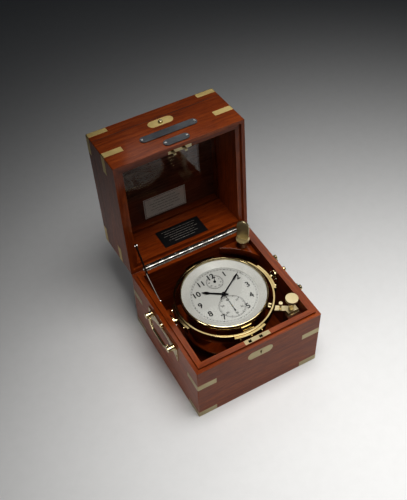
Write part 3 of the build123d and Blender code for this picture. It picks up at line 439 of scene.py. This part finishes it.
def dial_print():
    """The chapter ring, the hour figures and the two subsidiary dials."""
    lift = Matrix.Translation((0.0, 0.0, DIAL_TOP + 0.02 * MM))
    middle, seconds, updown = (0.0, 0.0), SECONDS.xy, UPDOWN.xy
    hours, fine = Sheet(), Sheet()
    inner, outer = 44.4 * MM, 46.0 * MM
    for hour in range(1, 13):
        if hour != 6:
            hours.text(str(hour), clock_spot(middle, 37.2 * MM, 30 * hour), 12.2 * MM, 0.30 * MM)
    for hour in range(12):
        hours.disc(clock_spot(middle, (inner + outer) / 2, 30 * hour), 0.75 * MM)
    for radius in (inner, outer):
        fine.arc(middle, radius, 0.22 * MM, steps=180)
    fine.ticks(middle, inner, outer, 60, 0.6 * MM)
    inner, outer = 17.0 * MM, 18.6 * MM
    fine.arc(seconds, outer, 0.40 * MM)
    fine.arc(seconds, inner, 0.22 * MM)
    fine.ticks(seconds, inner, outer, 60, 0.36 * MM)
    fine.ticks(seconds, 15.6 * MM, outer, 12, 0.7 * MM)
    for tens in range(1, 7):
        fine.text(str(10 * tens), clock_spot(seconds, 12.9 * MM, 60 * tens), 4.4 * MM, 0.10 * MM)
    inner, outer = 10.6 * MM, 12.0 * MM
    fine.arc(updown, outer, 0.36 * MM)
    fine.arc(updown, inner, 0.16 * MM)
    fine.ticks(updown, inner, outer, 56, 0.28 * MM, 30.0, 330.0)
    for i in range(8):
        fine.text(str(8 * i), clock_spot(updown, 8.2 * MM, 30 + 300 * i / 7), 2.9 * MM, 0.06 * MM)
    prints = (hours.piece("hour_figures", DIAL_INK, lift, PRINT),
              fine.piece("fine_dial_print", FINE_INK, lift, PRINT))
    for item in prints:
        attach(item, "bowl")


def shut_box(node):
    """The corners of a swung CAD node in the shut position."""
    spots = [SHUT @ v.co for v in NODES[node].data.vertices]
    low = Vector([min(p[i] for p in spots) for i in range(3)])
    high = Vector([max(p[i] for p in spots) for i in range(3)])
    return low, high


def ruled_lines(width, rows, gap, stroke, lengths):
    """Rows of broken rules that stand for small print, with no letters in them."""
    sheet = Sheet()
    for row in range(rows):
        y = (rows - 1) / 2 * gap - row * gap
        reach = width * lengths[row % len(lengths)]
        x = -reach / 2
        step = 0
        while x < reach / 2:
            word = stroke * (5 + 3 * ((row * 7 + step * 5) % 4))
            sheet.line((x, y), (min(x + word, reach / 2), y), stroke)
            x += word + stroke * 1.6
            step += 1
    return sheet


def small_print():
    """Rules on the data plate of the tier's inner wall and on the paper label inside the top lid."""
    face_y, middle_z = DATA_PLATE
    sheet = ruled_lines(54 * MM, 6, 4.6 * MM, 0.55 * MM, (1.0, 0.9, 1.0, 0.72, 0.86, 0.6))
    place = SWING @ Matrix.Translation((0.0, face_y - PRINT, middle_z)) @ Matrix.Rotation(pi / 2, 4, "X")
    item = sheet.piece("data_plate_rules", ENGRAVING, place, PRINT)
    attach(item, "tier")
    low, high = shut_box("lid_label")
    centre = (low + high) / 2
    place = SWING @ Matrix.Translation((centre.x, centre.y, low.z - PRINT)) @ Matrix.Rotation(pi, 4, "X")
    sheet = ruled_lines(50 * MM, 5, 5.2 * MM, 0.6 * MM, (0.7, 1.0, 0.85, 0.95, 0.5))
    for inset in (1.2 * MM, 2.0 * MM):
        half_x, half_y = (high.x - low.x) / 2 - inset, (high.y - low.y) / 2 - inset
        corners = [(-half_x, -half_y), (half_x, -half_y), (half_x, half_y), (-half_x, half_y)]
        for a, b in zip(corners, corners[1:] + corners[:1]):
            sheet.line(a, b, 0.3 * MM)
    item = sheet.piece("paper_rules", PAPER_INK, place, PRINT)
    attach(item, "lid")


def domed_head(radius, height, steps=24):
    """A plain domed screw head, standing on the origin along +Z."""
    mesh = bmesh.new()
    turns = [2 * pi * i / steps for i in range(steps)]
    rings = []
    for r, z in ((1.0, 0.0), (1.0, 0.45), (0.92, 0.72), (0.72, 0.92), (0.40, 1.0)):
        reach = radius * r
        rings.append([mesh.verts.new((reach * cos(t), reach * sin(t), height * z)) for t in turns])
    for lower, upper in zip(rings, rings[1:]):
        for i in range(steps):
            following = (i + 1) % steps
            mesh.faces.new((lower[i], lower[following], upper[following], upper[i]))
    mesh.faces.new(rings[-1])
    mesh.faces.new(list(reversed(rings[0])))
    for face in mesh.faces:
        face.smooth = True
    return mesh


def added_piece(name, shape, material, body):
    """Turns a bmesh into a named piece that rides on a body."""
    mesh = bpy.data.meshes.new(name)
    shape.to_mesh(mesh)
    shape.free()
    mesh.materials.append(material)
    item = bpy.data.objects.new(name, mesh)
    bpy.context.scene.collection.objects.link(item)
    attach(item, body)


def screws(name, places, radius, height, material, body):
    """Screw heads at the given placements, joined into one piece."""
    joined = bmesh.new()
    for place in places:
        head = domed_head(radius, height)
        head.transform(place)
        shape = bpy.data.meshes.new("head")
        head.to_mesh(shape)
        head.free()
        joined.from_mesh(shape)
        bpy.data.meshes.remove(shape)
    added_piece(name, joined, material, body)


def small_screws():
    """Screw heads on the side plates and the lock plate, and flush ones in the hinge leaves."""
    leaf_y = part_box("base_hinge")[0].y + 2.1 * MM
    sunk = 0.46 * MM  # from the plane between the two leaves to the foot of each head
    columns = [22 * MM * i for i in range(-3, 4)]
    spots = [Matrix.Translation((x, leaf_y, HINGE.z - sunk)) for x in columns]
    screws("base_leaf_screws", spots, 1.3 * MM, 0.4 * MM, STEEL, "box")
    flip = Matrix.Rotation(pi, 4, "X")
    spots = [SWING @ Matrix.Translation((x, leaf_y, HINGE.z + sunk)) @ flip for x in columns]
    screws("tier_leaf_screws", spots, 1.3 * MM, 0.4 * MM, STEEL, "tier")
    lock_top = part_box("box_lock")[1].z - 0.05 * MM
    spots = [Matrix.Translation((x * MM, -85.7 * MM, lock_top)) for x in (-16.5, 15.5)]
    screws("lock_plate_screws", spots, 1.1 * MM, 0.3 * MM, SHADED_STRAP_BRASS, "box")
    for hand, side in (("left", -1), ("right", 1)):
        out = Matrix.Rotation(side * pi / 2, 4, "Y")
        spots = [Matrix.Translation((side * 96.2 * MM, y * MM, z * MM)) @ out
                 for y, z in ((-38.5, 76.5), (38.5, 76.5), (0.0, 90.5))]
        screws("side_plate_screws_" + hand, spots, 1.6 * MM, 0.6 * MM, HANDLE_BRASS, "box")


def lid_joint():
    """A painted shadow: the dark line that runs round the box where the shut lid meets the tier, standing in
    for the shade in the seam.
    """
    low, high = shut_box("top_lid")
    tall, proud = 0.8 * MM, 0.04 * MM
    middle_z = low.z - 0.02 * MM - tall / 2
    line = bmesh.new()
    for side in (-1, 1):
        for spot, size in (((0.0, side * high.y, middle_z), (2 * high.x, 2 * proud, tall)),
                           ((side * high.x, 0.0, middle_z), (2 * proud, 2 * high.y, tall))):
            bmesh.ops.create_cube(line, size=1.0, matrix=Matrix.LocRotScale(spot, None, size))
    line.transform(SWING)
    added_piece("lid_joint_shadow_line", line, JOINT_SHADOW, "tier")


dial_print()
small_print()
small_screws()
lid_joint()


# ---- floor, light and camera ----------------------------------------------------------------------------
def studio():
    """A pale floor under a faint, even sky."""
    sheet = bmesh.new()
    bmesh.ops.create_grid(sheet, x_segments=8, y_segments=8, size=4.0)
    mesh = bpy.data.meshes.new("floor")
    sheet.to_mesh(mesh)
    sheet.free()
    floor = bpy.data.objects.new("floor", mesh)
    bpy.context.scene.collection.objects.link(floor)
    floor.location.z = cad_box[0][2] - 0.1 * MM
    paper = flat_finish("floor_paper", (0.62, 0.625, 0.63), (0.605, 0.61, 0.615), 0.9, 60.0, 0.02)
    mesh.materials.append(paper)
    world = bpy.data.worlds.new("studio")
    bpy.context.scene.world = world
    world.use_nodes = True
    world.node_tree.nodes["Background"].inputs["Color"].default_value = (0.80, 0.85, 0.92, 1.0)
    world.node_tree.nodes["Background"].inputs["Strength"].default_value = 0.03


def softbox(name, spot, aim, size, spread, power):
    """A soft rectangular lamp at a spot, pointed at its aim."""
    lamp = bpy.data.lights.new(name, "AREA")
    lamp.shape = "RECTANGLE"
    lamp.size, lamp.size_y = size
    lamp.spread = radians(spread)
    lamp.energy = power
    lamp.color = (1.0, 0.985, 0.96)
    item = bpy.data.objects.new(name, lamp)
    bpy.context.scene.collection.objects.link(item)
    item.location = spot
    item.rotation_euler = (Vector(aim) - Vector(spot)).to_track_quat("-Z", "Y").to_euler()


def photographer():
    """A 57 mm lens looking down on the box from the front left."""
    target = Vector((0.02103, 0.0961, 0.09003))
    azimuth, elevation, roll, distance = radians(-27.64), radians(48.69), radians(-2.14), 1.15829
    back = Vector((sin(azimuth) * cos(elevation), -cos(azimuth) * cos(elevation), sin(elevation)))
    right = Vector((0.0, 0.0, 1.0)).cross(back).normalized()
    up = back.cross(right)
    across = right * cos(roll) + up * sin(roll)
    above = up * cos(roll) - right * sin(roll)
    lens = bpy.data.cameras.new("camera")
    lens.sensor_fit = "VERTICAL"
    lens.sensor_height = 36.0
    lens.lens = 57.0
    camera = bpy.data.objects.new("camera", lens)
    bpy.context.scene.collection.objects.link(camera)
    basis = Matrix((across, above, back)).transposed().to_4x4()
    camera.matrix_world = Matrix.Translation(target + back * distance) @ basis
    bpy.context.scene.camera = camera


studio()
softbox("overhead", (0.16, -0.30, 1.08), (0.15, -0.36, 0.0), (0.8, 0.8), 78.0, 4.05)
softbox("back_card", (0.40, 0.70, 1.05), (0.03, 0.05, 0.15), (0.6, 0.5), 100.0, 0.44)
softbox("left_card", (-0.80, -0.20, 0.16), (-0.095, -0.02, 0.045), (0.30, 0.16), 40.0, 0.10)
photographer()
bpy.context.scene.view_settings.view_transform = "Standard"
bpy.context.scene.view_settings.look = "Medium High Contrast"
